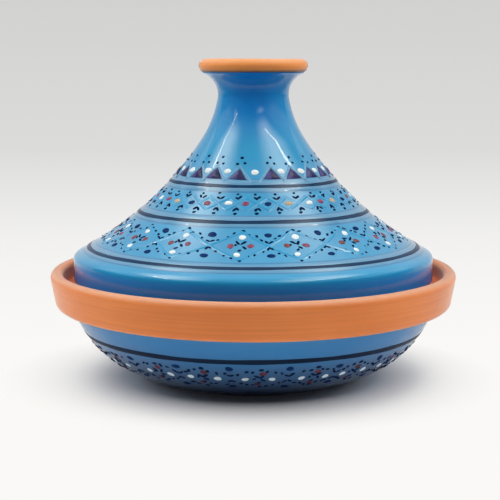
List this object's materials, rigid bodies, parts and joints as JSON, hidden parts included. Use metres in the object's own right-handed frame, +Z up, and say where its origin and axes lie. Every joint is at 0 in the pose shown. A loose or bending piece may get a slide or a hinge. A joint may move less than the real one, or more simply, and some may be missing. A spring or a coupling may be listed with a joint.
{
  "type": "tagine pot",
  "caption": "Round earthenware cooking pot: a shallow glazed dish with a bare clay collar, and a conical glazed lid drawn up into a flared cup knob, with painted lines and dots.",
  "frame": {"origin": "centre of the dish's foot, on the surface that the pot stands on", "axes": "+Z up along the pot's axis of revolution; X and Y lie in the surface that the pot stands on"},
  "size_m": [0.2808, 0.2808, 0.2208],
  "materials": {
    "terracotta": "bare fired earthenware, fine grain, matt to satin",
    "blue_glaze": "glossy blue glaze",
    "inner_glaze": "glossy clear glaze over the clay",
    "line_paint": "dark painted line, satin",
    "ink_enamel": "raised dark blue enamel, ticks and small dots",
    "white_enamel": "raised white enamel dabs",
    "red_enamel": "raised brick red enamel dabs",
    "ochre_enamel": "raised ochre enamel dabs",
    "navy_enamel": "raised navy enamel dabs",
    "violet_enamel": "raised violet enamel triangles"
  },
  "bodies": {
    "dish": {"dish_body": "terracotta", "dish_outer_glaze": "blue_glaze", "dish_inner_glaze": "inner_glaze", "dish_line": "line_paint"},
    "lid": {"lid_body": "terracotta", "lid_outer_glaze": "blue_glaze", "lid_line_lower": "line_paint", "lid_line_middle": "line_paint", "lid_line_upper": "line_paint"}
  },
  "joints": [
    {"name": "lid_lift", "type": "slide", "parent": "dish", "child": "lid", "axis": [0, 0, 1], "range_m": [0, 0.2]}
  ]
}
